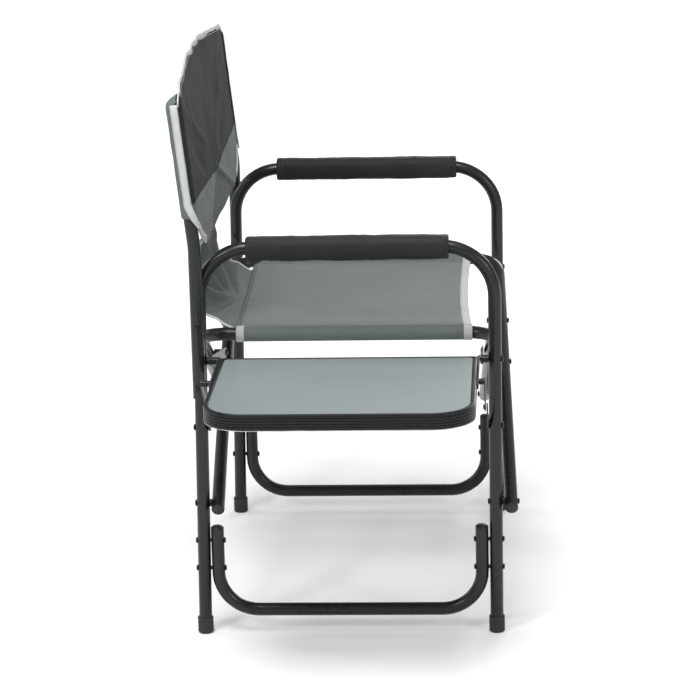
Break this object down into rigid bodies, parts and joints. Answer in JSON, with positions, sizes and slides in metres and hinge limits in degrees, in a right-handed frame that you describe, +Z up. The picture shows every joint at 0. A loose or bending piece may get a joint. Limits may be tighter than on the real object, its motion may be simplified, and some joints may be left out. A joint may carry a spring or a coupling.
{
  "type": "folding camp chair",
  "caption": "Folding camp chair with a bent-tube frame, crossed tubes under a cloth seat, a sling back, padded arms and a fold-down side table.",
  "frame": {"origin": "on the ground, under the middle of the bounding box of the open chair and its raised table", "axes": "+X to the front of the chair, +Y to the sitter's left, +Z up"},
  "size_m": [0.5074, 0.9386, 0.8542],
  "materials": {
    "arm_pad": "black woven cloth over foam",
    "back_fabric": "charcoal and grey woven polyester",
    "back_post": "satin black paint",
    "bar": "satin black paint",
    "crossed_tube": "satin black paint",
    "foot": "black rubber",
    "lower_brace": "satin black paint",
    "pin": "dark zinc",
    "seat_back_flap": "grey woven polyester",
    "seat_fabric": "grey woven polyester",
    "side_tube": "satin black paint",
    "table_board": "blue-grey laminate",
    "table_edging": "ribbed black edging with a silver lower lip",
    "tube_plug": "black plastic"
  },
  "bodies": {
    "right_frame": {"front_stay_leg_pin": "pin", "rear_stay_leg_pin": "pin", "right_arm_pad": "arm_pad", "right_back_post": "back_post", "right_front_fold_pin": "pin", "right_front_foot": "foot", "right_front_hinge_pin": "pin", "right_lower_brace": "lower_brace", "right_post_cap": "tube_plug", "right_post_rivet_1": "pin", "right_post_rivet_2": "pin", "right_rear_fold_pin": "pin", "right_rear_foot": "foot", "right_rear_hinge_pin": "pin", "right_side_tube": "side_tube", "back_fabric": "back_fabric", "seat_back_flap": "seat_back_flap", "seat_fabric": "seat_fabric"},
    "cross_a": {"crossed_tube_a": "crossed_tube", "front_centre_pin": "pin", "rear_centre_pin": "pin", "tube_a_front_plug": "tube_plug", "tube_a_rear_plug": "tube_plug"},
    "cross_b": {"crossed_tube_b": "crossed_tube", "tube_b_front_plug": "tube_plug", "tube_b_rear_plug": "tube_plug"},
    "left_frame": {"left_arm_pad": "arm_pad", "left_back_post": "back_post", "left_front_fold_pin": "pin", "left_front_foot": "foot", "left_front_hinge_pin": "pin", "left_lower_brace": "lower_brace", "left_post_cap": "tube_plug", "left_post_rivet_1": "pin", "left_post_rivet_2": "pin", "left_rear_fold_pin": "pin", "left_rear_foot": "foot", "left_rear_hinge_pin": "pin", "left_side_tube": "side_tube"},
    "right_links": {"right_front_link": "bar", "right_front_link_rivet": "pin", "right_rear_link": "bar", "right_rear_link_rivet": "pin"},
    "left_links": {"left_front_link": "bar", "left_front_link_rivet": "pin", "left_rear_link": "bar", "left_rear_link_rivet": "pin"},
    "table": {"front_stay_table_pin": "pin", "rear_stay_table_pin": "pin", "table_board": "table_board", "table_edging": "table_edging", "table_front_bracket": "bar", "table_rear_bracket": "bar"},
    "stay_lowers": {"front_stay_lower": "bar", "rear_stay_lower": "bar"},
    "stay_uppers": {"front_stay_knuckle": "pin", "front_stay_upper": "bar", "rear_stay_knuckle": "pin", "rear_stay_upper": "bar"}
  },
  "joints": [
    {"name": "fold", "type": "hinge", "parent": "right_frame", "child": "cross_a", "pos_m": [-0.002, -0.15527, 0.2047], "axis": [1, 0, 0], "range_deg": [0, 55.38], "deforming": ["seat_fabric", "back_fabric", "seat_back_flap"]},
    {"name": "cross_pivot", "type": "hinge", "parent": "cross_a", "child": "cross_b", "pos_m": [-0.002, 0.14072, 0.34034], "axis": [1, 0, 0], "range_deg": [-111.06, 0]},
    {"name": "left_fold", "type": "hinge", "parent": "cross_b", "child": "left_frame", "pos_m": [-0.002, 0.43673, 0.2047], "axis": [1, 0, 0], "range_deg": [0, 55.58]},
    {"name": "right_link_pivot", "type": "hinge", "parent": "right_frame", "child": "right_links", "pos_m": [-0.002, -0.15527, 0.424], "axis": [1, 0, 0], "range_deg": [0, 90.89]},
    {"name": "left_link_pivot", "type": "hinge", "parent": "left_frame", "child": "left_links", "pos_m": [-0.002, 0.43673, 0.424], "axis": [1, 0, 0], "range_deg": [-90.89, 0]},
    {"name": "table_hinge", "type": "hinge", "parent": "right_frame", "child": "table", "pos_m": [-0.002, -0.15527, 0.424], "axis": [1, 0, 0], "range_deg": [0, 83.5]},
    {"name": "stay_leg_pivot", "type": "hinge", "parent": "right_frame", "child": "stay_lowers", "pos_m": [-0.002, -0.15527, 0.3225], "axis": [1, 0, 0], "range_deg": [-49.29, 0]},
    {"name": "stay_table_pivot", "type": "hinge", "parent": "table", "child": "stay_uppers", "pos_m": [-0.002, -0.28127, 0.424], "axis": [1, 0, 0], "range_deg": [0, 38.27]}
  ],
  "couplings": [
    {"joint": "cross_pivot", "follows": "fold", "ratio": -2},
    {"joint": "left_fold", "follows": "fold", "ratio": 1},
    {"joint": "right_link_pivot", "follows": "fold", "ratio": 1.6358},
    {"joint": "left_link_pivot", "follows": "fold", "ratio": -1.6358},
    {"joint": "stay_leg_pivot", "follows": "table_hinge", "ratio": -0.5879},
    {"joint": "stay_table_pivot", "follows": "table_hinge", "ratio": 0.4559}
  ]
}
